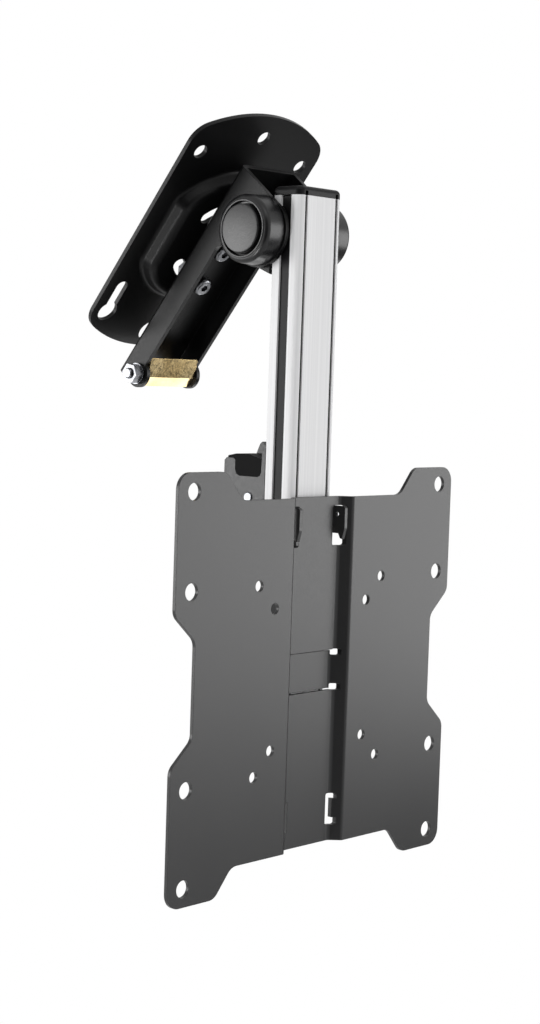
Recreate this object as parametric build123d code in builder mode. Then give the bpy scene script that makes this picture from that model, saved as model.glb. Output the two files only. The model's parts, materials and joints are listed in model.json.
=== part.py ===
from build123d import *
import math
import os

os.makedirs("parts", exist_ok=True)

# Folding ceiling mount for a television, hanging below a sloped ceiling.
# Lengths are in millimetres and angles in degrees.
# Origin: centre of the screen hole pattern, on the front face of the wings.
# +X runs along the fold hinge, +Y away from the screen, +Z is up.

# Driving dimensions of the screen plate.
vesa_pitch = 200.0
vesa_short = 100.0
vesa_small = 75.0
vesa_hole_r = 4.5
vesa_small_hole_r = 3.0
sheet = 2.0
tab_margin_x = 11.2
tab_margin_z = 9.6
tab_width = 34.2
tab_slant = 12.5
middle_drop = 14.9
waist_depth = 15.0
waist_low = 25.0
waist_high = 38.5
tab_corner_r = 8.5
tab_slant_r = 8.0
waist_corner_r = 7.0
strip_depth = 5.8
strip_clear = 1.1
flank_run = 5.6
strip_bend_r = 3.5
wing_bend_r = 0.6
strap_half_height = 10.4
strap_cut = 0.6
strap_push = 2.0
strap_overrun = 2.7
relief_width = 4.4
relief_height = 3.5
low_slot_z = -77.25
low_slot_height = 17.5
low_tab_height = 10.5

# Driving dimensions of the arm.
profile_half_width = 17.2
profile_depth = 19.0
profile_length = 271.0
profile_bottom = -17.0
profile_wall = 2.2
profile_corner_r = 4.0
profile_rear_r = 1.0
side_groove_start = 6.4
side_groove_width = 7.0
side_groove_deep = 4.0
front_slit_x = 12.2
front_slit_width = 2.0
front_slit_deep = 1.5
top_cap_height = 4.9
top_cap_round = 2.6
bottom_cap_height = 3.0
cap_plug_length = 2.0
plug_gap = 0.2

# Fold hinge and the slope of the ceiling.
hinge_drop = 18.5
hinge_behind = 6.5
slope = 50.85
hinge_bolt_r = 4.0
bearing_fit = 0.05

# Hinge bracket on the back of the arm.
bracket_sheet = 2.2
bracket_ease = 0.6
bracket_lobe_r = 14.0
bracket_below = 23.2
bar_thick = 4.0
bar_margin = 6.0
arm_screw_x = 7.0

# Latch on the back of the arm. Heights are counted from its axle.
latch_sheet = 2.2
latch_half_width = 17.0
axle_z = 92.6
axle_behind = 11.6
axle_r = 2.8
latch_reach = 30.0
notch_start = 2.8
notch_end = 22.0
notch_floor_up = 11.3
latch_top_up = 20.8
ear_gap = 0.2
ear_sheet = 2.2
ear_front = 0.6
ear_low_down = 18.1
ear_high_down = 3.2
hub_r = 5.6
hub_half = 3.0
hook_half = 1.5
spacer_wall = 1.1
spring_wire_r = 0.5
spring_pitch = 1.3
spring_turns = 4

# Channel and ceiling plate.
# Along runs down the channel from the hinge axis, up runs to the ceiling.
ring_thick = 1.0
channel_sheet = 2.5
channel_web_up = 33.1
channel_edge_up = 18.3
channel_start = -18.7
lobe_r = 19.6
throat_r = 8.0
end_lobe_r = 7.8
keeper_along = 117.0
keeper_up = 19.9
plate_up = 46.2
plate_sheet = 2.5
plate_along = 37.1
plate_half_length = 79.9
plate_end_r = 90.8
plate_half_width = 50.9
plate_corner_r = 14.0
boss_up = 38.0
boss_foot_r = 43.0
boss_half_width = 37.6
boss_corner_r = 12.0
boss_slant = 68.0
boss_bend_r = 2.6
swivel_along = 36.7
clamp_radius = 23.6
clamp_slot_r = 3.7
swivel_limit = 45.0
plate_hole_r = 4.1
top_hole_along = 66.0
side_hole_x = 40.0
side_hole_along = 52.0
low_hole_along = 69.3
low_hole_r = 6.9
keyhole_along = 57.5
keyhole_r = 6.2
keyhole_slot = 17.5
keyhole_width = 7.6

# Fasteners.
m5_r = 2.5
m5_clear_r = 2.65
m5_head_r = 4.5
m5_head_height = 2.6
m5_key = 4.0
m6_r = 3.0
m6_flats = 10.0
m6_nut_height = 5.0
m6_round_head_r = 5.6
m6_round_head_height = 3.3
m6_key = 4.0
m6_washer_r = 6.0
m8_flats = 13.0
m8_nut_height = 6.5
m8_head_height = 5.3
m8_washer_r = 8.0
washer_thick = 1.6
bolt_tip = 1.6

# Hinge covers.
cover_base_r = 18.7
cover_taper = 0.4
cover_shoulder = 2.9
cover_height = 13.2
cover_wall = 1.0
cover_cap_gap = 1.5
cover_cap_rise = 2.0
cover_cap_round = 0.7
cap_seat = 10.6

# Derived places.
wing_half_width = vesa_pitch / 2 + tab_margin_x
wing_half_height = vesa_pitch / 2 + tab_margin_z
strip_bend_x = profile_half_width + strip_clear
wing_bend_x = strip_bend_x + flank_run
profile_front = strip_depth + strap_push + sheet
profile_back = profile_front + profile_depth
profile_top = profile_bottom + profile_length
hinge_y = profile_back + hinge_behind
hinge_z = profile_top - hinge_drop
bracket_half_width = profile_half_width + bracket_ease
inner_half = bracket_half_width + ring_thick
channel_half_width = inner_half + channel_sheet
web_back = profile_back + bracket_sheet
arm_screw_z = (hinge_z - 16.5, hinge_z + 9.1)
latch_screw_z = (axle_z - 23.6, axle_z + 4.4)
axle_y = profile_back + axle_behind
ear_inner = profile_half_width + ear_gap
ear_outer = ear_inner + ear_sheet
ear_low = axle_z - ear_low_down
ear_high = axle_z - ear_high_down
ceiling_axis = Vector(0, math.cos(math.radians(slope)), -math.sin(math.radians(slope)))
ceiling_normal = Vector(0, math.sin(math.radians(slope)), math.cos(math.radians(slope)))
hinge_point = Vector(0, hinge_y, hinge_z)
# Local x of the side plane runs along the channel and local y runs up.
side = Plane(origin=hinge_point, x_dir=ceiling_axis, z_dir=(1, 0, 0))
# Local x of the face plane is X, local y runs along and its normal is up.
face = Plane(origin=hinge_point, x_dir=(1, 0, 0), z_dir=ceiling_normal)
# Larger than the whole object, for cuts that run right through.
far = 500.0


def arm_side(x):
    """Upright plane across the arm at x, with local x = Y and local y = Z."""
    return Plane(origin=(x, 0, 0), x_dir=(0, 1, 0), z_dir=(1, 0, 0))


def both_sides(x, z):
    """The place at x and its mirror image at -x."""
    return [(-x, z), (x, z)]


# Screen plate: wings, slanted flanks and a recessed middle strip.

flank_length = math.hypot(flank_run, strip_depth)
flank_cos = flank_run / flank_length
flank_sin = strip_depth / flank_length


def rear_flank_x(y):
    """X on the rear of the flank at y, one sheet behind its front line."""
    start_x = wing_bend_x + sheet * flank_sin
    start_y = sheet * flank_cos
    return start_x + (start_y - y) * flank_cos / flank_sin


def strip_outline(depth, reach):
    """Closed outline in X and Y of the bent sheet, with its strip at depth."""
    front_x = wing_bend_x - depth * flank_cos / flank_sin
    right = [
        (front_x, depth),
        (wing_bend_x, 0),
        (reach, 0),
        (reach, sheet),
        (rear_flank_x(sheet), sheet),
        (rear_flank_x(depth + sheet), depth + sheet),
    ]
    left = [(-x, y) for x, y in reversed(right)]
    return right + left


def round_bends(section, depth):
    """Rounds each bend: a small inside radius, one sheet more outside it."""

    def bends_at(y):
        corners = [v for v in section.vertices() if abs(v.Y - y) < 0.1]
        return [v for v in corners if abs(v.X) < wing_half_width - 1]

    fillet(bends_at(depth), strip_bend_r)
    fillet(bends_at(depth + sheet), strip_bend_r + sheet)
    fillet(bends_at(0), wing_bend_r + sheet)
    fillet(bends_at(sheet), wing_bend_r)


def quarter_outline():
    """Corners of a quarter of the plate's outline, from the middle outwards."""
    return [
        (0, wing_half_height - middle_drop),
        (wing_half_width - tab_width - tab_slant, wing_half_height - middle_drop),
        (wing_half_width - tab_width, wing_half_height),
        (wing_half_width, wing_half_height),
        (wing_half_width, waist_high),
        (wing_half_width - waist_depth, waist_low),
        (wing_half_width - waist_depth, 0),
    ]


with BuildPart() as screen_plate:
    with BuildSketch(Plane.XY.offset(-wing_half_height)) as bent_section:
        with BuildLine():
            Polyline(*strip_outline(strip_depth, wing_half_width), close=True)
        make_face()
        round_bends(bent_section, strip_depth)
    extrude(amount=2 * wing_half_height)
    with BuildSketch(Plane.XZ) as plate_outline:
        with BuildLine():
            quarter = quarter_outline()
            lower = [(x, -z) for x, z in reversed(quarter)]
            right = quarter + lower[1:]
            left = [(-x, z) for x, z in reversed(right)]
            Polyline(*right, *left[1:-1], close=True)
        make_face()
        tab_corners = [v for v in plate_outline.vertices() if abs(v.Y) > wing_half_height - 1]
        fillet([v for v in tab_corners if abs(v.X) > wing_half_width - 1], tab_corner_r)
        slant_x = wing_half_width - tab_width
        outline_corners = plate_outline.vertices()
        slant_corners = [v for v in outline_corners if slant_x - tab_slant - 1 < abs(v.X) < slant_x + 1]
        fillet(slant_corners, tab_slant_r)
        waist_corners = [v for v in plate_outline.vertices() if waist_low - 1 < abs(v.Y) < waist_high + 1]
        fillet(waist_corners, waist_corner_r)
    extrude(amount=far, both=True, mode=Mode.INTERSECT)
    # Window for the strap, with the strap itself one push deeper.
    strap_reach = strip_bend_x + strap_overrun
    with BuildSketch(Plane.XY.offset(-strap_half_height - strap_cut)):
        Rectangle(2 * strap_reach, far)
    extrude(amount=2 * (strap_half_height + strap_cut), mode=Mode.SUBTRACT)
    with BuildSketch(Plane.XY.offset(-strap_half_height)) as strap_section:
        with BuildLine():
            Polyline(*strip_outline(strip_depth + strap_push, wing_half_width), close=True)
        make_face()
        round_bends(strap_section, strip_depth + strap_push)
        Rectangle(2 * strap_reach, far, mode=Mode.INTERSECT)
    extrude(amount=2 * strap_half_height)
    with BuildSketch(Plane.XZ):
        # Relief openings at the four ends of the strap.
        for level in (-strap_half_height + 0.85, strap_half_height - 0.85):
            with Locations(*both_sides(strip_bend_x + 0.7, level)):
                RectangleRounded(relief_width, relief_height, 0.8)
        # Upper slots, each with an ear of the latch bracket in it.
        slot_low = ear_low - 6.5
        slot_high = ear_high + 0.4
        with Locations(*both_sides((ear_inner + ear_outer) / 2 - 0.9, (slot_low + slot_high) / 2)):
            RectangleRounded(ear_sheet + 5.6, slot_high - slot_low, 1.2)
        # Lower C slots round their tabs.
        low_slot_x = (ear_inner + ear_outer) / 2 + 0.15
        with Locations(*both_sides(low_slot_x, low_slot_z)):
            RectangleRounded(ear_sheet + 3.7, low_slot_height, 1.2)
        with Locations(*both_sides(ear_outer + 1.5, low_slot_z + 0.5)):
            Rectangle(3.0, low_tab_height, mode=Mode.SUBTRACT)
        # Screen screw holes.
        with GridLocations(vesa_pitch, vesa_pitch, 2, 2):
            Circle(vesa_hole_r)
        with GridLocations(vesa_pitch, vesa_short, 2, 2):
            Circle(vesa_hole_r)
        with GridLocations(vesa_short, vesa_short, 2, 2):
            Circle(vesa_small_hole_r)
        with GridLocations(vesa_small, vesa_small, 2, 2):
            Circle(vesa_small_hole_r)
    extrude(amount=far, both=True, mode=Mode.SUBTRACT)
screen_plate.part.label = "screen_plate"
export_step(screen_plate.part, "parts/screen_plate.step")

# Arm: hollow aluminium extrusion with a groove in each side and a front slit.

profile_mid = profile_front + profile_depth / 2
groove_mid = profile_front + side_groove_start + side_groove_width / 2
chamber_half_width = profile_half_width - side_groove_deep - profile_wall
chamber_front = profile_front + profile_wall + 0.6
chamber_back = profile_back - profile_wall
chamber_depth = chamber_back - chamber_front
chamber_mid = (chamber_front + chamber_back) / 2


def screw_places(levels):
    """Both screws of each level, as places in X and Z."""
    return [(hand * arm_screw_x, z) for hand in (-1, 1) for z in levels]


with BuildPart() as arm_profile:
    with BuildSketch(Plane.XY.offset(profile_bottom)) as profile_sketch:
        with Locations((0, profile_mid)):
            Rectangle(2 * profile_half_width, profile_depth)
        fillet(profile_sketch.vertices().group_by(Axis.Y)[0], profile_corner_r)
        fillet(profile_sketch.vertices().group_by(Axis.Y)[-1], profile_rear_r)
        with Locations(*both_sides(profile_half_width - side_groove_deep / 2, groove_mid)):
            Rectangle(side_groove_deep, side_groove_width, mode=Mode.SUBTRACT)
        with Locations(*both_sides(front_slit_x, profile_front + front_slit_deep / 2)):
            Rectangle(front_slit_width, front_slit_deep, mode=Mode.SUBTRACT)
        with Locations((0, chamber_mid)):
            Rectangle(2 * chamber_half_width, chamber_depth, mode=Mode.SUBTRACT)
    extrude(amount=profile_length)
    with BuildSketch(Plane.XZ.offset(-profile_back)):
        with Locations(*screw_places(arm_screw_z)):
            Circle(m5_clear_r)
        with Locations(*screw_places(latch_screw_z)):
            Circle(m5_clear_r)
    extrude(amount=profile_wall, mode=Mode.SUBTRACT)
arm_profile.part.label = "arm_profile"
export_step(arm_profile.part, "parts/arm_profile.step")

# Plastic end caps, each with a plug that sits inside the extrusion.

plug_width = 2 * (chamber_half_width - plug_gap)
plug_depth = chamber_depth - 2 * plug_gap

with BuildPart() as top_cap:
    with BuildSketch(Plane.XY.offset(profile_top)) as top_sketch:
        with Locations((0, profile_mid)):
            Rectangle(2 * profile_half_width, profile_depth)
        fillet(top_sketch.vertices().group_by(Axis.Y)[0], profile_corner_r)
        fillet(top_sketch.vertices().group_by(Axis.Y)[-1], profile_rear_r)
    extrude(amount=top_cap_height)
    fillet(top_cap.edges().filter_by(Axis.X).group_by(Axis.Z)[-1], top_cap_round)
    with BuildSketch(Plane.XY.offset(profile_top)):
        with Locations(*both_sides(front_slit_x, profile_front + front_slit_deep / 2)):
            Rectangle(front_slit_width, front_slit_deep)
    extrude(amount=top_cap_height - top_cap_round, mode=Mode.SUBTRACT)
    with BuildSketch(Plane.XY.offset(profile_top)):
        with Locations((0, chamber_mid)):
            RectangleRounded(plug_width, plug_depth, 1.0)
    extrude(amount=-cap_plug_length)
top_cap.part.label = "top_cap"
export_step(top_cap.part, "parts/top_cap.step")

with BuildPart() as bottom_cap:
    with BuildSketch(Plane.XY.offset(profile_bottom)) as bottom_sketch:
        with Locations((0, profile_mid)):
            Rectangle(2 * profile_half_width, profile_depth)
        fillet(bottom_sketch.vertices().group_by(Axis.Y)[0], profile_corner_r)
        fillet(bottom_sketch.vertices().group_by(Axis.Y)[-1], profile_rear_r)
    extrude(amount=-bottom_cap_height)
    fillet(bottom_cap.faces().sort_by(Axis.Z)[0].edges(), bottom_cap_height * 0.4)
    with BuildSketch(Plane.XY.offset(profile_bottom)):
        with Locations((0, chamber_mid)):
            RectangleRounded(plug_width, plug_depth, 1.0)
    extrude(amount=cap_plug_length)
bottom_cap.part.label = "bottom_cap"
export_step(bottom_cap.part, "parts/bottom_cap.step")

# Hinge bracket of the arm: web on the back of the extrusion, two side plates.

with BuildPart() as arm_bracket:
    with BuildSketch(arm_side(-bracket_half_width)):
        with BuildLine():
            Polyline(
                (profile_back, hinge_z - bracket_below),
                (hinge_y + bracket_lobe_r / 2, hinge_z - bracket_below + 5.4),
                (hinge_y + bracket_lobe_r, hinge_z),
                (hinge_y, hinge_z + bracket_lobe_r),
                (profile_back, hinge_z + bracket_lobe_r + 0.5),
                close=True,
            )
        make_face()
        with Locations((hinge_y, hinge_z)):
            Circle(bracket_lobe_r)
        with Locations((profile_back - far / 2, hinge_z)):
            Rectangle(far, far, mode=Mode.SUBTRACT)
    extrude(amount=2 * bracket_half_width)
    with BuildSketch(arm_side(-bracket_half_width + bracket_sheet)):
        with Locations((web_back + far / 2, hinge_z)):
            Rectangle(far, far)
    extrude(amount=2 * (bracket_half_width - bracket_sheet), mode=Mode.SUBTRACT)
    with BuildSketch(arm_side(-bracket_half_width)):
        with Locations((hinge_y, hinge_z)):
            Circle(hinge_bolt_r + bearing_fit)
    extrude(amount=2 * bracket_half_width, mode=Mode.SUBTRACT)
    upright_edges = arm_bracket.edges().filter_by(Axis.Z)
    fillet(upright_edges.filter_by_position(Axis.Y, profile_back - 0.1, profile_back + 0.1), 1.2)
    with BuildSketch(Plane.XZ.offset(-web_back)):
        with Locations(*screw_places(arm_screw_z)):
            Circle(m5_clear_r)
    extrude(amount=bracket_sheet, mode=Mode.SUBTRACT)
arm_bracket.part.label = "arm_bracket"
export_step(arm_bracket.part, "parts/arm_bracket.step")

# Nut bars inside the extrusion, with the button-head screws that reach them.

bar_width = 2 * (chamber_half_width - 0.5)


def nut_bar(low, high, levels):
    """Flat bar from low to high against the inside of the rear wall."""
    with BuildPart() as bar:
        with BuildSketch(Plane.XZ.offset(-chamber_back)):
            with Locations((0, (low + high) / 2)):
                Rectangle(bar_width, high - low)
            with Locations(*screw_places(levels)):
                Circle(m5_r + bearing_fit, mode=Mode.SUBTRACT)
        extrude(amount=bar_thick)
    return bar.part


def web_screws(levels):
    """Four screws through a bracket's web and the rear wall into a bar."""
    with BuildPart() as screws:
        with BuildSketch(Plane.XZ.offset(-web_back)):
            with Locations(*screw_places(levels)):
                Circle(m5_head_r)
        extrude(amount=-m5_head_height)
        with BuildSketch(Plane.XZ.offset(-web_back)):
            with Locations(*screw_places(levels)):
                Circle(m5_r)
        extrude(amount=bracket_sheet + profile_wall + bar_thick)
        with BuildSketch(Plane.XZ.offset(-web_back - m5_head_height)):
            with Locations(*screw_places(levels)):
                RegularPolygon(m5_key / 2, 6)
        extrude(amount=0.6 * m5_head_height, mode=Mode.SUBTRACT)
    return screws.part


arm_nut_bar = nut_bar(arm_screw_z[0] - bar_margin, profile_top - cap_plug_length - 0.3, arm_screw_z)
arm_nut_bar.label = "arm_nut_bar"
export_step(arm_nut_bar, "parts/arm_nut_bar.step")

latch_nut_bar = nut_bar(latch_screw_z[0] - bar_margin, latch_screw_z[1] + bar_margin, latch_screw_z)
latch_nut_bar.label = "latch_nut_bar"
export_step(latch_nut_bar, "parts/latch_nut_bar.step")

arm_screws = web_screws(arm_screw_z)
arm_screws.label = "arm_screws"
export_step(arm_screws, "parts/arm_screws.step")

latch_screws = web_screws(latch_screw_z)
latch_screws.label = "latch_screws"
export_step(latch_screws, "parts/latch_screws.step")

# Latch bracket: web on the back of the extrusion, two notched plates behind
# it and two ears in front that hook through the upper slots of the plate.

notch_front = profile_back + notch_start
notch_back = profile_back + notch_end
notch_floor = axle_z + notch_floor_up
latch_top = axle_z + latch_top_up
latch_back = profile_back + latch_reach
latch_corner = 1.5
# The notch that the pad fills, from its front wall round to its rear tip.
notch_outline = [
    (notch_front, notch_floor + 2.6),
    (notch_front + 0.8, notch_floor + 0.8),
    (notch_front + 2.6, notch_floor),
    (notch_back - 3.4, notch_floor),
    (notch_back - 1.0, notch_floor + 1.0),
    (notch_back, notch_floor + 3.4),
    (notch_back, latch_top - 1.0),
    (notch_back + latch_corner, latch_top),
]

with BuildPart() as latch_bracket:
    with BuildSketch(arm_side(-latch_half_width)):
        with BuildLine():
            Polyline(
                (profile_back, latch_top + 6.1),
                (notch_front - 0.4, latch_top + 4.1),
                *notch_outline,
                (latch_back - latch_corner, latch_top),
                (latch_back, latch_top - latch_corner),
                (latch_back, axle_z + 4.4),
                (axle_y + 9.0, axle_z - 8.0),
                (axle_y, axle_z - 10.6),
                (profile_back, axle_z - 1.6),
                close=True,
            )
        make_face()
    extrude(amount=2 * latch_half_width)
    with BuildSketch(arm_side(-latch_half_width + latch_sheet)):
        with Locations((web_back + far / 2, axle_z)):
            Rectangle(far, far)
    extrude(amount=2 * (latch_half_width - latch_sheet), mode=Mode.SUBTRACT)
    # Lower web with its screws, and the cross strip that carries the ears.
    web_low = latch_screw_z[0] - 7.0
    web_high = axle_z + 7.4
    with BuildSketch(Plane.XZ.offset(-profile_back)):
        with Locations((0, (web_low + web_high) / 2)):
            Rectangle(2 * (arm_screw_x + bar_margin), web_high - web_low)
        with Locations((0, (ear_low + ear_high) / 2)):
            Rectangle(2 * ear_outer, ear_high - ear_low)
    extrude(amount=-bracket_sheet)
    for start in (-ear_outer, ear_inner):
        with BuildSketch(arm_side(start)):
            with BuildLine():
                Polyline(
                    (web_back, ear_low),
                    (web_back, ear_high),
                    (ear_front + 1.0, ear_high),
                    (ear_front, ear_high - 1.0),
                    (ear_front, ear_low + 3.0),
                    (ear_front + 1.6, ear_low - 3.0),
                    (ear_front + 3.0, ear_low - 2.6),
                    (ear_front + 4.4, ear_low),
                    close=True,
                )
            make_face()
            with Locations((ear_front + 5.5, ear_high - 4.5)):
                Circle(1.25, mode=Mode.SUBTRACT)
        extrude(amount=ear_sheet)
    with BuildSketch(arm_side(-latch_half_width)):
        with Locations((axle_y, axle_z)):
            Circle(axle_r)
    extrude(amount=2 * latch_half_width, mode=Mode.SUBTRACT)
    with BuildSketch(Plane.XZ.offset(-web_back)):
        with Locations(*screw_places(latch_screw_z)):
            Circle(m5_clear_r)
    extrude(amount=bracket_sheet, mode=Mode.SUBTRACT)
latch_bracket.part.label = "latch_bracket"
export_step(latch_bracket.part, "parts/latch_bracket.step")

# Latch pad: plastic saddle that fills the notches and covers their rear tips.

pad_slot_half = hook_half + 1.1
pad_slot_start = notch_front - 0.5
pad_slot_end = notch_back - 0.3

with BuildPart() as latch_pad:
    with BuildSketch(arm_side(-latch_half_width)):
        with BuildLine():
            Polyline(
                *notch_outline,
                (latch_back - 2.4, latch_top),
                (latch_back - 2.8, latch_top + 1.2),
                (notch_back - 0.6, latch_top + 2.4),
                (notch_back - 9.2, latch_top + 2.6),
                (notch_front, latch_top + 0.2),
                close=True,
            )
        make_face()
    extrude(amount=2 * latch_half_width)
    with BuildSketch(arm_side(-pad_slot_half)):
        with Locations(((pad_slot_start + pad_slot_end) / 2, notch_floor)):
            Rectangle(pad_slot_end - pad_slot_start, far)
    extrude(amount=2 * pad_slot_half, mode=Mode.SUBTRACT)
latch_pad.part.label = "latch_pad"
export_step(latch_pad.part, "parts/latch_pad.step")

# Latch hook: a spring-loaded lever on the cross axle between the plates.

claw_neck = axle_z + 17.4
claw_tip = claw_neck + 12.4

with BuildPart() as latch_hook:
    with BuildSketch(arm_side(-hook_half)):
        with BuildLine():
            Polyline(
                (axle_y - hub_r, axle_z),
                (axle_y - 1.6, claw_neck),
                (axle_y + 1.6, claw_tip - 3.0),
                (axle_y + 5.0, claw_tip),
                (axle_y + 6.6, claw_tip - 1.2),
                (axle_y + 9.1, claw_tip - 6.6),
                (axle_y + 6.5, claw_tip - 8.1),
                (axle_y + 5.2, claw_neck),
                (axle_y + hub_r, axle_z),
                close=True,
            )
        make_face()
    extrude(amount=2 * hook_half)
    with BuildSketch(arm_side(-hub_half)):
        with Locations((axle_y, axle_z)):
            Circle(hub_r)
    extrude(amount=2 * hub_half)
    with BuildSketch(arm_side(-hub_half)):
        with Locations((axle_y, axle_z)):
            Circle(axle_r + bearing_fit)
    extrude(amount=2 * hub_half, mode=Mode.SUBTRACT)
latch_hook.part.label = "latch_hook"
export_step(latch_hook.part, "parts/latch_hook.step")

axle_half = latch_half_width + 0.8
spacer_r = axle_r + spacer_wall
spacer_start = hub_half + 0.3
spacer_end = latch_half_width - latch_sheet

with BuildPart() as latch_axle:
    with BuildSketch(arm_side(-axle_half)):
        with Locations((axle_y, axle_z)):
            Circle(axle_r)
    extrude(amount=2 * axle_half)
    chamfer(latch_axle.edges().filter_by(GeomType.CIRCLE), 0.4)
latch_axle.part.label = "latch_axle"
export_step(latch_axle.part, "parts/latch_axle.step")

with BuildPart() as latch_spacers:
    for start in (-spacer_end, spacer_start):
        with BuildSketch(arm_side(start)):
            with Locations((axle_y, axle_z)):
                Circle(spacer_r)
                Circle(axle_r + bearing_fit, mode=Mode.SUBTRACT)
        extrude(amount=spacer_end - spacer_start)
latch_spacers.part.label = "latch_spacers"
export_step(latch_spacers.part, "parts/latch_spacers.step")

# Return spring: a coil round one spacer.

with BuildPart() as latch_spring:
    with BuildLine() as coil_path:
        Helix(
            spring_pitch,
            spring_turns * spring_pitch,
            spacer_r + 0.3 + spring_wire_r,
            center=(spacer_start + 1.4, axle_y, axle_z),
            direction=(1, 0, 0),
        )
    with BuildSketch(Plane(origin=coil_path.line @ 0, z_dir=coil_path.line % 0)):
        Circle(spring_wire_r)
    sweep(path=coil_path.line, is_frenet=True)
latch_spring.part.label = "latch_spring"
export_step(latch_spring.part, "parts/latch_spring.step")

# Channel under the ceiling plate, in which the arm hangs and folds.

web_under = channel_web_up - channel_sheet
swivel_places = [(0, swivel_along - clamp_radius), (0, swivel_along), (0, swivel_along + clamp_radius)]
channel_end = keeper_along + end_lobe_r
throat_line = side.from_local_coords((lobe_r, channel_edge_up, 0))

with BuildPart() as channel:
    with BuildSketch(side.offset(-channel_half_width)):
        with BuildLine():
            Polyline(
                (channel_start, channel_web_up),
                (channel_start, 0),
                (lobe_r, 0),
                (lobe_r, channel_edge_up),
                (keeper_along, channel_edge_up),
                (keeper_along, keeper_up),
                (channel_end, keeper_up),
                (channel_end, channel_web_up),
                close=True,
            )
        make_face()
        Circle(lobe_r)
        with Locations((keeper_along, keeper_up)):
            Circle(end_lobe_r)
        with Locations((0, channel_web_up + far / 2)):
            Rectangle(far, far, mode=Mode.SUBTRACT)
        with Locations((channel_start - far / 2, 0)):
            Rectangle(far, far, mode=Mode.SUBTRACT)
    extrude(amount=2 * channel_half_width)
    fillet(channel.edges().filter_by(Axis.X).sort_by_distance(throat_line)[0], throat_r)
    with BuildSketch(side.offset(-inner_half)):
        with Locations((0, web_under - far / 2)):
            Rectangle(far, far)
    extrude(amount=2 * inner_half, mode=Mode.SUBTRACT)
    with BuildSketch(side.offset(-channel_half_width)):
        Circle(hinge_bolt_r + bearing_fit)
        with Locations((keeper_along, keeper_up)):
            Circle(m6_r + bearing_fit)
    extrude(amount=2 * channel_half_width, mode=Mode.SUBTRACT)
    with BuildSketch(face.offset(web_under)):
        with Locations(*swivel_places):
            Circle(m6_r + bearing_fit)
    extrude(amount=channel_sheet, mode=Mode.SUBTRACT)
    # The two long outer edges of the web are bends.
    long_edges = channel.edges().filter_by(lambda e: e.length > keeper_along)
    long_edges = long_edges.filter_by(lambda e: abs((e % 0.5).dot(ceiling_axis)) > 0.999)
    web_bends = long_edges.group_by(lambda e: round((e @ 0.5).dot(ceiling_normal), 3))[-1]
    fillet(web_bends, channel_sheet - 0.2)
channel.part.label = "channel"
export_step(channel.part, "parts/channel.step")

# Ceiling plate: sheet with straight sides, arched ends and a drawn boss towards the
# channel, with a centre hole and two arc slots for the swivel.

end_arc_shift = plate_end_r - plate_half_length
boss_run = (plate_up - boss_up) / math.tan(math.radians(boss_slant))
# Seen from behind, both bends lie a little further in.
sheet_shift = plate_sheet * math.tan(math.radians(boss_slant / 2))
slot_span = 2 * swivel_limit + 4
# Level and radius of each rounded bend, front side first.
boss_bends = [
    (boss_up, boss_bend_r + plate_sheet),
    (plate_up, boss_bend_r),
    (boss_up + plate_sheet, boss_bend_r),
    (plate_up + plate_sheet, boss_bend_r + plate_sheet),
]


def boss_outlines(inset, rise):
    """Front and foot outline of the boss: a circle with flattened sides."""
    outlines = []
    for level, shrink in ((boss_up, inset + boss_run), (plate_up, inset)):
        with BuildSketch(face.offset(level + rise)) as outline:
            with Locations((0, swivel_along)):
                Circle(boss_foot_r - shrink)
                Rectangle(2 * (boss_half_width - shrink), far, mode=Mode.INTERSECT)
            fillet(outline.vertices(), boss_corner_r - shrink)
        outlines.append(outline.sketch.face())
    return outlines


with BuildPart() as ceiling_plate:
    with BuildSketch(face.offset(plate_up)) as plate_sketch:
        with Locations((0, plate_along + end_arc_shift)):
            Circle(plate_end_r)
        with Locations((0, plate_along - end_arc_shift)):
            Circle(plate_end_r, mode=Mode.INTERSECT)
        with Locations((0, plate_along)):
            Rectangle(2 * plate_half_width, far, mode=Mode.INTERSECT)
        fillet(plate_sketch.vertices(), plate_corner_r)
    extrude(amount=plate_sheet)
    loft(boss_outlines(0, 0), ruled=True)
    loft(boss_outlines(sheet_shift, plate_sheet), ruled=True, mode=Mode.SUBTRACT)
    for level, radius in boss_bends:
        centre = hinge_point + swivel_along * ceiling_axis + level * ceiling_normal
        rims = ceiling_plate.edges().filter_by(lambda e: (e @ 0.5 - centre).length < boss_foot_r + 1)
        fillet(rims.filter_by(lambda e: abs((e @ 0.5 - centre).dot(ceiling_normal)) < 0.01), radius)
    with BuildSketch(face.offset(boss_up)):
        with Locations((0, swivel_along)):
            Circle(m6_r + bearing_fit)
        for middle in (90, 270):
            start = middle - slot_span / 2
            end = middle + slot_span / 2
            with BuildLine():
                CenterArc((0, swivel_along), clamp_radius - clamp_slot_r, start, slot_span)
                CenterArc((0, swivel_along), clamp_radius + clamp_slot_r, start, slot_span)
                for turn, first in ((start, start + 180), (end, end)):
                    tip_x = clamp_radius * math.cos(math.radians(turn))
                    tip_y = clamp_radius * math.sin(math.radians(turn))
                    CenterArc((tip_x, swivel_along + tip_y), clamp_slot_r, first, 180)
            make_face()
    extrude(amount=plate_sheet, mode=Mode.SUBTRACT)
    with BuildSketch(face.offset(plate_up)):
        with Locations((0, plate_along - top_hole_along)):
            Circle(plate_hole_r)
        with Locations(*both_sides(side_hole_x, plate_along - side_hole_along)):
            Circle(plate_hole_r)
        with Locations((0, plate_along + low_hole_along)):
            Circle(low_hole_r)
        with Locations(*both_sides(side_hole_x, plate_along + keyhole_along)):
            Circle(keyhole_r)
        with Locations(*both_sides(side_hole_x, plate_along + keyhole_along - keyhole_slot / 2)):
            SlotCenterToCenter(keyhole_slot, keyhole_width, rotation=90)
    extrude(amount=plate_sheet, mode=Mode.SUBTRACT)
ceiling_plate.part.label = "ceiling_plate"
export_step(ceiling_plate.part, "parts/ceiling_plate.step")

# Swivel: a slide pad between channel and boss, three round-head screws with
# their heads in the channel, and washers and nuts behind the boss.

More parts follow.
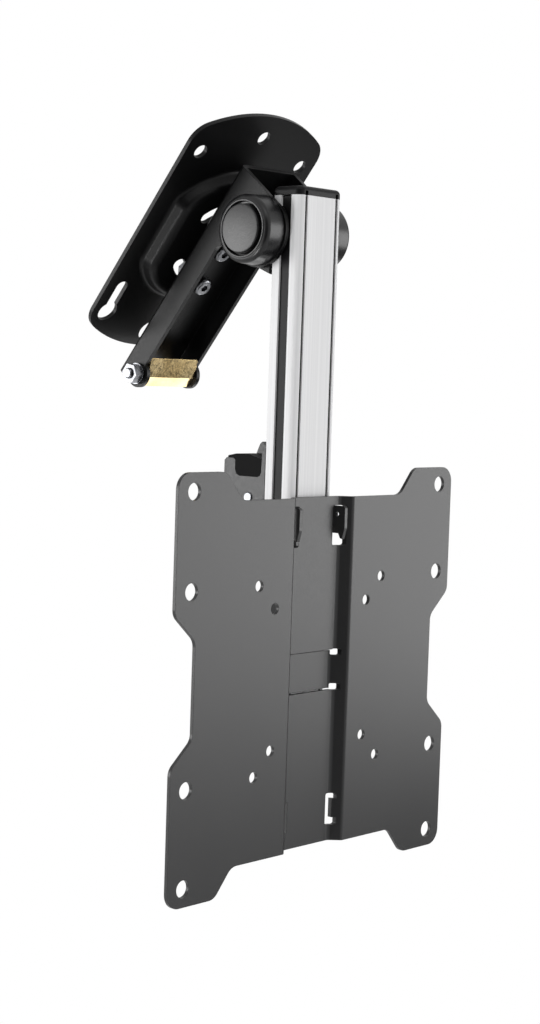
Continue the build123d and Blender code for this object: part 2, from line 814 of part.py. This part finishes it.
pad_rail_r = clamp_slot_r + 4.0
pad_disc_r = 13.5
boss_rear = boss_up + plate_sheet
nut_up = boss_rear + washer_thick

with BuildPart() as swivel_pad:
    with BuildSketch(face.offset(channel_web_up)):
        with Locations((0, swivel_along)):
            SlotCenterToCenter(2 * clamp_radius, 2 * pad_rail_r, rotation=90)
            Circle(pad_disc_r)
        with Locations(*swivel_places):
            Circle(m6_r + bearing_fit, mode=Mode.SUBTRACT)
    extrude(amount=boss_up - channel_web_up)
swivel_pad.part.label = "swivel_pad"
export_step(swivel_pad.part, "parts/swivel_pad.step")

with BuildPart() as swivel_screws:
    with BuildSketch(face.offset(web_under)):
        with Locations(*swivel_places):
            Circle(m6_round_head_r)
    extrude(amount=-m6_round_head_height)
    rims = swivel_screws.edges().filter_by(GeomType.CIRCLE)
    low_rims = rims.group_by(lambda e: round(e.center().dot(ceiling_normal), 3))[0]
    fillet(low_rims, m6_round_head_height * 0.55)
    with BuildSketch(face.offset(web_under)):
        with Locations(*swivel_places):
            Circle(m6_r)
    extrude(amount=nut_up + m6_nut_height + 1.0 - web_under)
    with BuildSketch(face.offset(web_under - m6_round_head_height)):
        with Locations(*swivel_places):
            RegularPolygon(m6_key / math.sqrt(3), 6)
    extrude(amount=m6_round_head_height * 0.6, mode=Mode.SUBTRACT)
swivel_screws.part.label = "swivel_screws"
export_step(swivel_screws.part, "parts/swivel_screws.step")

with BuildPart() as swivel_washers:
    with BuildSketch(face.offset(boss_rear)):
        with Locations(*swivel_places):
            Circle(m6_washer_r)
            Circle(m6_r + bearing_fit, mode=Mode.SUBTRACT)
    extrude(amount=washer_thick)
swivel_washers.part.label = "swivel_washers"
export_step(swivel_washers.part, "parts/swivel_washers.step")

with BuildPart() as swivel_nuts:
    with BuildSketch(face.offset(nut_up)):
        with Locations(*swivel_places):
            RegularPolygon(m6_flats / 2, 6, major_radius=False)
            Circle(m6_r + bearing_fit, mode=Mode.SUBTRACT)
    extrude(amount=m6_nut_height)
swivel_nuts.part.label = "swivel_nuts"
export_step(swivel_nuts.part, "parts/swivel_nuts.step")

# Keeper: bent zinc sheet between the flange ends, held by one long bolt.
# Its points are counted along and up from the bolt.

keeper_half = inner_half - 0.2
keeper_sheet = 1.5
keeper_strip = [(-12.2, -1.0), (-2.2, -5.7), (5.0, -4.7), (5.0, -3.2), (-2.0, -4.1), (-11.5, 0.4)]
keeper_cheek = [(-9.0, -1.8), (-2.2, -4.9), (5.0, -3.9), (5.6, -1.0)]
keeper_cheek += [(5.6, 3.1), (1.6, 6.1), (-4.4, 6.1), (-8.4, 2.1)]


def from_keeper_bolt(points):
    """Points counted from the keeper bolt, as places on the side plane."""
    return [(keeper_along + along, keeper_up + up) for along, up in points]


with BuildPart() as keeper:
    with BuildSketch(side.offset(-keeper_half)):
        with BuildLine():
            Polyline(*from_keeper_bolt(keeper_strip), close=True)
        make_face()
    extrude(amount=2 * keeper_half)
    for start in (-keeper_half, keeper_half - keeper_sheet):
        with BuildSketch(side.offset(start)):
            with BuildLine():
                Polyline(*from_keeper_bolt(keeper_cheek), close=True)
            make_face()
            with Locations((keeper_along, keeper_up)):
                Circle(m6_r + bearing_fit, mode=Mode.SUBTRACT)
        extrude(amount=keeper_sheet)
keeper.part.label = "keeper"
export_step(keeper.part, "parts/keeper.step")

outer_washer = channel_half_width + washer_thick
keeper_head_r = 5.6
keeper_head_height = 1.5

# The low round head lies flat on the right flange, the nut on the left one.
with BuildPart() as keeper_bolt:
    with BuildSketch(side.offset(channel_half_width)):
        with Locations((keeper_along, keeper_up)):
            Circle(keeper_head_r)
    extrude(amount=keeper_head_height)
    chamfer(keeper_bolt.faces().sort_by(Axis.X)[-1].edges(), 0.7)
    with BuildSketch(side.offset(channel_half_width)):
        with Locations((keeper_along, keeper_up)):
            Circle(m6_r)
    extrude(amount=-(channel_half_width + outer_washer + m6_nut_height + bolt_tip))
    chamfer(keeper_bolt.faces().sort_by(Axis.X)[0].edges(), 0.6)
keeper_bolt.part.label = "keeper_bolt"
export_step(keeper_bolt.part, "parts/keeper_bolt.step")

with BuildPart() as keeper_washer:
    with BuildSketch(side.offset(-outer_washer)):
        with Locations((keeper_along, keeper_up)):
            Circle(m6_washer_r)
            Circle(m6_r + bearing_fit, mode=Mode.SUBTRACT)
    extrude(amount=washer_thick)
keeper_washer.part.label = "keeper_washer"
export_step(keeper_washer.part, "parts/keeper_washer.step")

with BuildPart() as keeper_nut:
    with BuildSketch(side.offset(-outer_washer)):
        with Locations((keeper_along, keeper_up)):
            RegularPolygon(m6_flats / 2, 6, major_radius=False)
            Circle(m6_r + bearing_fit, mode=Mode.SUBTRACT)
    extrude(amount=-m6_nut_height)
keeper_nut.part.label = "keeper_nut"
export_step(keeper_nut.part, "parts/keeper_nut.step")

# Fold hinge: bolt, nut, washers and friction rings.

with BuildPart() as hinge_bolt:
    with BuildSketch(side.offset(outer_washer)):
        RegularPolygon(m8_flats / 2, 6, major_radius=False)
    extrude(amount=m8_head_height)
    with BuildSketch(side.offset(outer_washer)):
        Circle(hinge_bolt_r)
    extrude(amount=-(2 * outer_washer + m8_nut_height + bolt_tip))
hinge_bolt.part.label = "hinge_bolt"
export_step(hinge_bolt.part, "parts/hinge_bolt.step")

with BuildPart() as hinge_nut:
    with BuildSketch(side.offset(-outer_washer)):
        RegularPolygon(m8_flats / 2, 6, major_radius=False)
        Circle(hinge_bolt_r + bearing_fit, mode=Mode.SUBTRACT)
    extrude(amount=-m8_nut_height)
hinge_nut.part.label = "hinge_nut"
export_step(hinge_nut.part, "parts/hinge_nut.step")

with BuildPart() as hinge_washers:
    for start in (-outer_washer, channel_half_width):
        with BuildSketch(side.offset(start)):
            Circle(m8_washer_r)
            Circle(hinge_bolt_r + bearing_fit, mode=Mode.SUBTRACT)
        extrude(amount=washer_thick)
hinge_washers.part.label = "hinge_washers"
export_step(hinge_washers.part, "parts/hinge_washers.step")

with BuildPart() as friction_rings:
    for start in (-inner_half, bracket_half_width):
        with BuildSketch(side.offset(start)):
            Circle(bracket_lobe_r - 1.5)
            Circle(hinge_bolt_r + bearing_fit, mode=Mode.SUBTRACT)
        extrude(amount=ring_thick)
friction_rings.part.label = "friction_rings"
export_step(friction_rings.part, "parts/friction_rings.step")

# Hinge covers: plastic cups over the bolt ends, each with a domed cap.

recess_r = cover_base_r - cover_taper - cover_shoulder - cover_wall
cap_r = recess_r - cover_cap_gap
cup_hole_r = m8_washer_r + 1.5
hinge_axis = Axis(hinge_point, (1, 0, 0))


def hinge_cover(hand):
    """Cup turned round the hinge axis, with a rounded shoulder and a recess."""
    cup_section = Plane(
        origin=hinge_point + Vector(hand * channel_half_width, 0, 0),
        x_dir=(hand, 0, 0),
        z_dir=(0, -1, 0),
    )
    with BuildPart() as cover:
        with BuildSketch(cup_section) as cup:
            with BuildLine():
                Polyline(
                    (0, cup_hole_r),
                    (0, cover_base_r),
                    (cover_height, cover_base_r - cover_taper),
                    (cover_height, recess_r),
                    (cap_seat, recess_r),
                    (cap_seat, cup_hole_r),
                    close=True,
                )
            make_face()
            fillet(cup.vertices().sort_by(lambda v: v.X + v.Y)[-1], cover_shoulder)
        revolve(axis=hinge_axis)
    return cover.part


def cover_cap(hand):
    """Round cap with a domed edge, seated in the rim of a cover."""
    cap_plane = Plane(
        origin=hinge_point + Vector(hand * (channel_half_width + cap_seat), 0, 0),
        x_dir=(0, 1, 0),
        z_dir=(hand, 0, 0),
    )
    with BuildPart() as cap:
        with BuildSketch(cap_plane):
            Circle(cap_r)
        extrude(amount=cover_height + cover_cap_rise - cap_seat)
        fillet(cap.edges().sort_by(lambda e: hand * e.center().X)[-1], cover_cap_round)
    return cap.part


hinge_cover_left = hinge_cover(-1)
hinge_cover_left.label = "hinge_cover_left"
export_step(hinge_cover_left, "parts/hinge_cover_left.step")

hinge_cover_right = hinge_cover(1)
hinge_cover_right.label = "hinge_cover_right"
export_step(hinge_cover_right, "parts/hinge_cover_right.step")

cover_cap_left = cover_cap(-1)
cover_cap_left.label = "cover_cap_left"
export_step(cover_cap_left, "parts/cover_cap_left.step")

cover_cap_right = cover_cap(1)
cover_cap_right.label = "cover_cap_right"
export_step(cover_cap_right, "parts/cover_cap_right.step")
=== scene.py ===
import json
import math

import bmesh
import bpy
import numpy as np
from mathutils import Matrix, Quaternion, Vector


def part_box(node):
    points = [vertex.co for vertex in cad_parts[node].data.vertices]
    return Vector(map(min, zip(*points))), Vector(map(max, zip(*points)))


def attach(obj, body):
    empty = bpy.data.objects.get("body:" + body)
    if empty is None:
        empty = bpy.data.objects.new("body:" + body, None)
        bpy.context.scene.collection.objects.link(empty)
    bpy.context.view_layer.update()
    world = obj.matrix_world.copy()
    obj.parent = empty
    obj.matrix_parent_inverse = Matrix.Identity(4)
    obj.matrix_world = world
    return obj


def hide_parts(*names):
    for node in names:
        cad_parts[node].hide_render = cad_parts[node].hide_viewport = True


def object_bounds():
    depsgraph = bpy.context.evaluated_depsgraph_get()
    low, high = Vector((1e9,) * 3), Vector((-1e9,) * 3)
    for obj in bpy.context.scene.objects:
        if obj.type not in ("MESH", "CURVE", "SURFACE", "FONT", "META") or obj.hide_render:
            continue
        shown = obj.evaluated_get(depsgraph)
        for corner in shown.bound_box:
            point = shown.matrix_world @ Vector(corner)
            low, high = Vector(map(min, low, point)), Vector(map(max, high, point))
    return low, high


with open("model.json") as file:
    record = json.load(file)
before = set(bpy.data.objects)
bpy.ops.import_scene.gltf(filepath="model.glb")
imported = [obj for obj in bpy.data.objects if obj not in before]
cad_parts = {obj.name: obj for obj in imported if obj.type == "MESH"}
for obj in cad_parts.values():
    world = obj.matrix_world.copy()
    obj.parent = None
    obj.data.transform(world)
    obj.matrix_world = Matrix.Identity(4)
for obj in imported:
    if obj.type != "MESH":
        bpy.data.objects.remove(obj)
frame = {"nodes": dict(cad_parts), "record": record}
cad_low, cad_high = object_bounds()
nodes = frame["nodes"]
mm = 0.001

# Places read from the frame, in metres.
profile_low, profile_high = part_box("arm_profile")
cover_low, cover_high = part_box("hinge_cover_left")
hinge = Vector((0.0, (cover_low.y + cover_high.y) / 2, (cover_low.z + cover_high.z) / 2))


def node_link(material, kind):
    """A new shader node of that kind in the material."""
    return material.node_tree.nodes.new(kind)


def join(material, source, target):
    """Links one socket to another."""
    material.node_tree.links.new(source, target)


def finish(name, colour, roughness, metallic=0.0, specular=0.5):
    """A material whose uniform values sit on the shader's own sockets."""
    material = bpy.data.materials.new(name)
    material.use_nodes = True
    shader = material.node_tree.nodes["Principled BSDF"]
    shader.inputs["Base Color"].default_value = (*colour, 1.0)
    shader.inputs["Roughness"].default_value = roughness
    shader.inputs["Metallic"].default_value = metallic
    shader.inputs["Specular IOR Level"].default_value = specular
    return material


def shader_of(material):
    """The material's one surface shader."""
    return material.node_tree.nodes["Principled BSDF"]


def place_on(material, stretch=(1.0, 1.0, 1.0), turn=(0.0, 0.0, 0.0)):
    """Object coordinates, stretched and turned for a pattern."""
    where = node_link(material, "ShaderNodeTexCoord")
    mapping = node_link(material, "ShaderNodeMapping")
    mapping.inputs["Scale"].default_value = stretch
    mapping.inputs["Rotation"].default_value = turn
    join(material, where.outputs["Object"], mapping.inputs["Vector"])
    return mapping.outputs["Vector"]


def grain(material, where, scale, detail=2.0):
    """Noise value at that place, about 0 to 1."""
    noise = node_link(material, "ShaderNodeTexNoise")
    noise.inputs["Scale"].default_value = scale
    noise.inputs["Detail"].default_value = detail
    join(material, where, noise.inputs["Vector"])
    return noise.outputs["Fac"]


def between(material, value, low, high, start=0.3, end=0.7):
    """The value from start to end, stretched to low and high."""
    stretch = node_link(material, "ShaderNodeMapRange")
    stretch.inputs["From Min"].default_value = start
    stretch.inputs["From Max"].default_value = end
    stretch.inputs["To Min"].default_value = low
    stretch.inputs["To Max"].default_value = high
    join(material, value, stretch.inputs["Value"])
    return stretch.outputs["Result"]


def vary_colour(material, value, dark, light, start=0.3, end=0.7):
    """Base colour from dark to light by the value."""
    ramp = node_link(material, "ShaderNodeValToRGB")
    ramp.color_ramp.elements[0].position = start
    ramp.color_ramp.elements[0].color = (*dark, 1.0)
    ramp.color_ramp.elements[1].position = end
    ramp.color_ramp.elements[1].color = (*light, 1.0)
    join(material, value, ramp.inputs["Fac"])
    join(material, ramp.outputs["Color"], shader_of(material).inputs["Base Color"])


def vary_roughness(material, value, low, high):
    """Roughness from low to high by the value."""
    join(material, between(material, value, low, high), shader_of(material).inputs["Roughness"])


def relief(material, heights, edge_radius=0.0):
    """Bumps from (value, height in metres) pairs over softly broken edges."""
    under = None
    if edge_radius:
        edges = node_link(material, "ShaderNodeBevel")
        edges.samples = 4
        edges.inputs["Radius"].default_value = edge_radius
        under = edges.outputs["Normal"]
    for value, height in heights:
        bump = node_link(material, "ShaderNodeBump")
        bump.inputs["Distance"].default_value = height
        join(material, value, bump.inputs["Height"])
        if under is not None:
            join(material, under, bump.inputs["Normal"])
        under = bump.outputs["Normal"]
    join(material, under, shader_of(material).inputs["Normal"])


def powder_coat(name, tones, roughness, specular):
    """Satin powder coat: orange peel, a fine grit and a slow change of tone."""
    dark, light = tones
    low_rough, high_rough = roughness
    material = finish(name, light, high_rough, specular=specular)
    here = place_on(material)
    slow = grain(material, here, 14.0)
    peel = grain(material, here, 900.0, 1.0)
    grit = grain(material, here, 3200.0, 3.0)
    vary_colour(material, slow, dark, light)
    vary_roughness(material, peel, low_rough, high_rough)
    relief(material, [(peel, 0.01 * mm), (grit, 0.003 * mm)], 0.35 * mm)
    return material


def anodised_aluminium():
    """Satin extrusion, milky from its anodic film, with drawn lines that run up the arm."""
    dark = (0.67, 0.67, 0.677)
    light = (0.73, 0.73, 0.735)
    material = finish("anodised_aluminium", light, 0.36, specular=0.12)
    lines = grain(material, place_on(material, (2300.0, 2300.0, 4.0)), 1.0, 3.0)
    broad = grain(material, place_on(material, (900.0, 900.0, 1.5)), 1.0, 2.0)
    vary_colour(material, broad, dark, light, 0.35, 0.6)
    vary_roughness(material, lines, 0.3, 0.44)
    relief(material, [(lines, 0.02 * mm), (broad, 0.01 * mm)], 0.3 * mm)
    return material


def moulded_plastic(name, tones, roughness, specular):
    """Moulded plastic with a fine spark-eroded skin."""
    dark, light = tones
    low_rough, high_rough = roughness
    material = finish(name, light, high_rough, specular=specular)
    here = place_on(material)
    skin = grain(material, here, 2600.0, 2.0)
    slow = grain(material, here, 60.0)
    vary_colour(material, slow, dark, light)
    vary_roughness(material, skin, low_rough, high_rough)
    relief(material, [(skin, 0.01 * mm)], 0.4 * mm)
    return material


def bright_zinc():
    """Bright zinc plate, a little cloudy."""
    dark = (0.1, 0.102, 0.108)
    light = (0.26, 0.265, 0.28)
    material = finish("bright_zinc", light, 0.28, metallic=1.0)
    here = place_on(material)
    cloud = grain(material, here, 420.0, 3.0)
    vary_colour(material, cloud, dark, light)
    vary_roughness(material, cloud, 0.2, 0.36)
    relief(material, [(grain(material, here, 2200.0), 0.004 * mm)], 0.2 * mm)
    return material


def yellow_zinc():
    """Yellow chromated zinc, browner where the film is thick."""
    dark = (0.4, 0.29, 0.13)
    light = (0.6, 0.48, 0.27)
    material = finish("yellow_zinc", light, 0.18, metallic=1.0)
    here = place_on(material)
    film = grain(material, here, 55.0, 3.0)
    vary_colour(material, film, dark, light)
    vary_roughness(material, grain(material, here, 700.0), 0.14, 0.22)
    relief(material, [(grain(material, here, 1800.0), 0.0015 * mm)], 0.25 * mm)
    return material


# Each finish has its darkest and its lightest tone.
# The screen plate's tones: the same black powder coat painted lighter, as a painted sheen.
coat_painted_sheen_tones = ((0.013, 0.013, 0.0135), (0.017, 0.017, 0.0175))
black_tones = ((0.0028, 0.0028, 0.003), (0.0036, 0.0036, 0.0038))
latch_tones = ((0.018, 0.018, 0.0185), (0.023, 0.023, 0.0235))
plastic_tones = ((0.005, 0.005, 0.0055), (0.007, 0.007, 0.0075))
# The latch pad's tones: the black plastic darkened, as painted shade of the recess the pad sits in.
pad_shade_tones = ((0.002, 0.002, 0.0022), (0.003, 0.003, 0.0032))

finishes = {
    # The screen plate's coat: the black powder coat painted lighter, as a painted sheen.
    "grey_coat": powder_coat("grey_coat", coat_painted_sheen_tones, (0.31, 0.38), 0.36),
    "black_coat": powder_coat("black_coat", black_tones, (0.32, 0.4), 0.17),
    "anodised": anodised_aluminium(),
    "black_plastic": moulded_plastic("black_plastic", plastic_tones, (0.34, 0.44), 0.12),
    "cover_plastic": moulded_plastic("cover_plastic", plastic_tones, (0.26, 0.34), 0.36),
    "zinc": bright_zinc(),
    "yellow_zinc": yellow_zinc(),
}
latch_coat = powder_coat("latch_coat", latch_tones, (0.4, 0.48), 0.5)
# The latch pad's black plastic made darker still: painted shade for the recess it sits in.
pad_painted_shade = moulded_plastic("pad_painted_shade", pad_shade_tones, (0.5, 0.6), 0.05)

for part in frame["record"]["subparts"]:
    node = nodes[part["node"]]
    node.data.materials.clear()
    node.data.materials.append(finishes[part["material_slot"]])
# The latch pad gets the darker copy of the black plastic: painted shade.
nodes["latch_pad"].data.materials[0] = pad_painted_shade
for node_name in ("latch_bracket", "latch_hook"):
    nodes[node_name].data.materials[0] = latch_coat


weld_gap = 0.0001 * mm


def weld(mesh):
    """Merges points that share one place, so that seams and poles are closed."""
    shell = bmesh.new()
    shell.from_mesh(mesh)
    bmesh.ops.remove_doubles(shell, verts=shell.verts, dist=weld_gap)
    shell.to_mesh(mesh)
    shell.free()


def surface(name, grid, around=False):
    """Mesh over a grid of points, rows by columns; around closes each row on itself."""
    rows, columns = grid.shape[:2]
    index = np.arange(rows * columns).reshape(rows, columns)
    if around:
        index = np.hstack([index, index[:, :1]])
    quads = np.stack([index[:-1, :-1], index[:-1, 1:], index[1:, 1:], index[1:, :-1]], axis=-1)
    mesh = bpy.data.meshes.new(name)
    mesh.from_pydata(grid.reshape(-1, 3).tolist(), [], quads.reshape(-1, 4).tolist())
    weld(mesh)
    mesh.polygons.foreach_set("use_smooth", np.ones(len(mesh.polygons), bool))
    mesh.update()
    piece = bpy.data.objects.new(name, mesh)
    bpy.context.scene.collection.objects.link(piece)
    return piece


def arc(centre, radius, start, end, count=7):
    """Points of an arc in the plane of a profile, angles in degrees."""
    angles = np.radians(np.linspace(start, end, count))
    return np.stack([centre[0] + radius * np.cos(angles), centre[1] + radius * np.sin(angles)], axis=1)


def turned(name, profile, seat, axis, count=96):
    """Profile of (height, radius) carried round an axis through the seat."""
    axis = np.array(axis, float)
    side = np.cross(axis, [0.0, 0.0, 1.0]) if abs(axis[2]) < 0.9 else np.array([1.0, 0.0, 0.0])
    side /= np.linalg.norm(side)
    other = np.cross(axis, side)
    turn = np.linspace(0.0, 2 * math.pi, count, endpoint=False)
    ring = np.outer(np.cos(turn), side) + np.outer(np.sin(turn), other)
    height = profile[:, 0][:, None, None] * axis
    grid = np.array(seat) + height + profile[:, 1][:, None, None] * ring
    return surface(name, grid, around=True)


# Hinge covers and their caps, turned smooth.
cover_base_r = 18.7 * mm
cover_foot_r = 0.4 * mm
cover_taper = 0.4 * mm
cover_shoulder = 2.9 * mm
cover_height = 13.2 * mm
lip_r = 0.18 * mm
lip_width = 1.0 * mm
lip_rise = 0.45 * mm
recess_foot_r = 0.4 * mm
cap_seat = 10.6 * mm
cap_rise = 2.0 * mm
cap_gap = 1.5 * mm
cap_edge = 0.6 * mm
cap_crown = 0.5 * mm
cup_hole_r = 9.5 * mm
rim_r = cover_base_r - cover_taper - cover_shoulder
recess_r = rim_r - lip_width


def cover_profile():
    """Closed section of a cover: tapered side, round shoulder, fine lip, recess and seat."""
    foot = cover_foot_r
    floor_r = recess_foot_r
    shoulder_h = cover_height - lip_rise - cover_shoulder
    return np.vstack([
        [[0.0, cup_hole_r], [0.0, cover_base_r - foot]],
        arc((foot, cover_base_r - foot), foot, 180, 90, 5)[1:],
        [[shoulder_h * 0.5, cover_base_r - cover_taper * 0.5]],
        arc((shoulder_h, rim_r), cover_shoulder, 90, 0, 14),
        arc((cover_height - lip_r, rim_r - lip_r), lip_r, 45, 0, 5),
        arc((cover_height - lip_r, recess_r + lip_r), lip_r, 0, -90, 5),
        [[cap_seat + floor_r, recess_r]],
        arc((cap_seat + floor_r, recess_r - floor_r), floor_r, 90, 180, 5)[1:],
        [[cap_seat, cup_hole_r], [0.0, cup_hole_r]],
    ])


def cap_profile():
    """Closed section of a cap: straight side, broken edge, faintly crowned face."""
    cap_r = recess_r - cap_gap
    edge_top = cover_height + cap_rise - cap_crown
    crown = np.linspace(cap_r - cap_edge, 0.0, 14)[1:]
    crown_h = edge_top + cap_crown * (1 - (crown / (cap_r - cap_edge)) ** 2)
    return np.vstack([
        [[cap_seat, 0.0], [cap_seat, cap_r]],
        arc((edge_top - cap_edge, cap_r - cap_edge), cap_edge, 90, 0, 7),
        np.stack([crown_h, crown], axis=1),
    ])


for hand, side_name in ((-1, "left"), (1, "right")):
    seat = (-hand * cover_high.x, hinge.y, hinge.z)
    cover = turned("cover_shell_" + side_name, cover_profile(), seat, (hand, 0, 0))
    cover.data.materials.append(finishes["cover_plastic"])
    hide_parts("hinge_cover_" + side_name)
    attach(cover, "channel")
    cap = turned("cover_face_" + side_name, cap_profile(), seat, (hand, 0, 0))
    cap.data.materials.append(finishes["cover_plastic"])
    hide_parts("cover_cap_" + side_name)
    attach(cap, "channel")


# Dark strips pressed into the side grooves and front slits of the extrusion.
groove_start = 6.4 * mm
groove_width = 7.0 * mm
groove_sink = 1.1 * mm
groove_strip_thick = 1.0 * mm
slit_x = 12.2 * mm
slit_width = 2.0 * mm
slit_sink = 0.7 * mm
slit_strip_thick = 0.7 * mm
strip_edge = 0.2 * mm
strip_margin = 0.5 * mm
strip_low = profile_low.z + strip_margin
strip_high = profile_high.z - strip_margin


def strip_outline(x_low, x_high, y_low, y_high):
    """Rounded rectangle in plan, counted round against the clock."""
    corners = [(x_high, y_high, 0), (x_low, y_high, 90), (x_low, y_low, 180), (x_high, y_low, 270)]
    points = []
    for x, y, start in corners:
        centre = (x - math.copysign(strip_edge, x - (x_low + x_high) / 2),
                  y - math.copysign(strip_edge, y - (y_low + y_high) / 2))
        points.append(arc(centre, strip_edge, start, start + 90, 4))
    return np.vstack(points)


def swept(name, outline, low, high, steps=24):
    """Outline carried straight up from low to high, closed by a face at each end."""
    count = len(outline)
    levels = np.linspace(low, high, steps)
    places = np.concatenate([np.tile(outline, (steps, 1)), np.repeat(levels, count)[:, None]], axis=1)
    index = np.arange(steps * count).reshape(steps, count)
    after = np.roll(index, -1, axis=1)
    quads = np.stack([index[:-1], after[:-1], after[1:], index[1:]], axis=-1).reshape(-1, 4).tolist()
    mesh = bpy.data.meshes.new(name)
    mesh.from_pydata(places.tolist(), [], quads + [index[0, ::-1].tolist(), index[-1].tolist()])
    mesh.update()
    piece = bpy.data.objects.new(name, mesh)
    bpy.context.scene.collection.objects.link(piece)
    return piece


for hand, side_name in ((-1, "left"), (1, "right")):
    outer = hand * (profile_high.x - groove_sink)
    inner = outer - hand * groove_strip_thick
    front = profile_low.y + groove_start
    groove_plan = strip_outline(min(outer, inner), max(outer, inner), front, front + groove_width)
    slit_low = hand * slit_x - slit_width / 2
    slit_front = profile_low.y + slit_sink
    slit_plan = strip_outline(slit_low, slit_low + slit_width, slit_front, slit_front + slit_strip_thick)
    for strip_name, plan in (("groove_strip_", groove_plan), ("slit_strip_", slit_plan)):
        strip = swept(strip_name + side_name, plan, strip_low, strip_high)
        strip.data.materials.append(finishes["black_plastic"])
        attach(strip, "arm")


# Camera, placed by the sixteen screen holes in the photograph.
image_height = 1024
focal_pixels = 1921.19
long_side = 36.0
camera_place = Vector((-779.93, -662.26, 157.79)) * mm
camera_aim = Vector((0.741574, 0.667204, -0.070044))
camera_roll = math.radians(1.907)

lens = bpy.data.cameras.new("camera")
lens.sensor_width = long_side
lens.lens = focal_pixels * long_side / image_height
camera = bpy.data.objects.new("camera", lens)
camera.location = camera_place
camera.rotation_mode = "QUATERNION"
camera.rotation_quaternion = camera_aim.to_track_quat("-Z", "Y") @ Quaternion((0, 0, 1), camera_roll)
bpy.context.scene.collection.objects.link(camera)
bpy.context.scene.camera = camera
bpy.context.scene.view_settings.view_transform = "Standard"


# Studio: white floor far below the hanging object, and a white room.
floor_drop = 1.1
floor_half = 6.0
room_strength = 0.55
white = (1.0, 1.0, 1.0, 1.0)
square = ((-1, -1), (1, -1), (1, 1), (-1, 1))


def seen_white(tree, lit, plain):
    """Mixes lit with plain white for camera, mirror and glass rays."""
    rays = tree.nodes.new("ShaderNodeLightPath")
    seen = tree.nodes.new("ShaderNodeMath")
    seen.operation = "MAXIMUM"
    tree.links.new(rays.outputs["Is Camera Ray"], seen.inputs[0])
    tree.links.new(rays.outputs["Is Glossy Ray"], seen.inputs[1])
    every = tree.nodes.new("ShaderNodeMath")
    every.operation = "MAXIMUM"
    tree.links.new(seen.outputs["Value"], every.inputs[0])
    tree.links.new(rays.outputs["Is Transmission Ray"], every.inputs[1])
    mix = tree.nodes.new("ShaderNodeMixShader")
    tree.links.new(every.outputs["Value"], mix.inputs["Fac"])
    tree.links.new(lit, mix.inputs[1])
    tree.links.new(plain, mix.inputs[2])
    return mix.outputs["Shader"]


room = bpy.data.worlds.new("room")
room.use_nodes = True
bpy.context.scene.world = room
soft_room = room.node_tree.nodes["Background"]
soft_room.inputs["Color"].default_value = white
soft_room.inputs["Strength"].default_value = room_strength
white_room = room.node_tree.nodes.new("ShaderNodeBackground")
white_room.inputs["Color"].default_value = white
white_room.inputs["Strength"].default_value = 1.0
room_out = room.node_tree.nodes["World Output"]
room.node_tree.links.new(
    seen_white(room.node_tree, soft_room.outputs["Background"], white_room.outputs["Background"]),
    room_out.inputs["Surface"],
)

floor_level = cad_low.z - floor_drop
floor_mesh = bpy.data.meshes.new("floor")
floor_corners = [(x * floor_half, y * floor_half, floor_level) for x, y in square]
floor_mesh.from_pydata(floor_corners, [], [(0, 1, 2, 3)])
floor = bpy.data.objects.new("floor", floor_mesh)
bpy.context.scene.collection.objects.link(floor)
floor_paper = bpy.data.materials.new("floor_paper")
floor_paper.use_nodes = True
paper = floor_paper.node_tree.nodes["Principled BSDF"]
paper.inputs["Base Color"].default_value = (0.8, 0.8, 0.8, 1.0)
paper.inputs["Roughness"].default_value = 0.9
paper_glow = floor_paper.node_tree.nodes.new("ShaderNodeEmission")
paper_glow.inputs["Strength"].default_value = 1.0
floor_paper.node_tree.links.new(
    seen_white(floor_paper.node_tree, paper.outputs["BSDF"], paper_glow.outputs["Emission"]),
    floor_paper.node_tree.nodes["Material Output"].inputs["Surface"],
)
floor_mesh.materials.append(floor_paper)


def softbox(name, place, aim, width, height, power):
    """Rectangular lamp at place, facing aim."""
    lamp = bpy.data.lights.new(name, "AREA")
    lamp.shape = "RECTANGLE"
    lamp.size = width
    lamp.size_y = height
    lamp.energy = power
    box = bpy.data.objects.new(name, lamp)
    box.location = place
    box.rotation_mode = "QUATERNION"
    box.rotation_quaternion = (Vector(aim) - Vector(place)).to_track_quat("-Z", "Y")
    bpy.context.scene.collection.objects.link(box)


middle = (cad_low + cad_high) / 2
softbox("box_right_front", (1.5, -1.35, 0.15), middle, 1.4, 1.2, 23.0)
softbox("box_left_back", (-1.5, 1.45, 0.12), middle, 0.9, 0.8, 18.0)
softbox("box_low_left", (-1.72, 0.39, -0.82), middle, 0.12, 0.45, 12.0)
softbox("box_low_right", (1.1, 0.25, -0.85), middle, 0.6, 0.6, 2.8)
softbox("box_top_left", (-1.2, -1.0, 1.6), middle, 1.2, 1.2, 6.0)


def dark_card(name, centre, half_width, half_height):
    """Dark card that faces the object and is seen only in mirror reflections."""
    across = (middle - centre).cross(Vector((0.0, 0.0, 1.0))).normalized()
    rise = across.cross(middle - centre).normalized()
    corners = [
        centre + side * half_width * across + level * half_height * rise
        for side, level in square
    ]
    mesh = bpy.data.meshes.new(name)
    mesh.from_pydata([tuple(corner) for corner in corners], [], [(0, 1, 2, 3)])
    mesh.materials.append(card_paper)
    card = bpy.data.objects.new(name, mesh)
    bpy.context.scene.collection.objects.link(card)
    card.visible_camera = False
    card.visible_diffuse = False
    card.visible_shadow = False
    card.visible_transmission = False


card_paper = finish("card_paper", (0.002, 0.002, 0.002), 0.9, specular=0.0)
card_distance = 1.5
dark_card("card_camera", middle - camera_aim * card_distance, 0.42, 0.9)
dark_card("card_low_front", Vector((0.98, -0.6, -0.43)), 0.28, 0.2)
dark_card("card_left", Vector((-1.5, -0.3, 0.05)), 0.5, 0.8)
dark_card("card_right", Vector((1.5, 0.1, 0.0)), 0.5, 0.8)
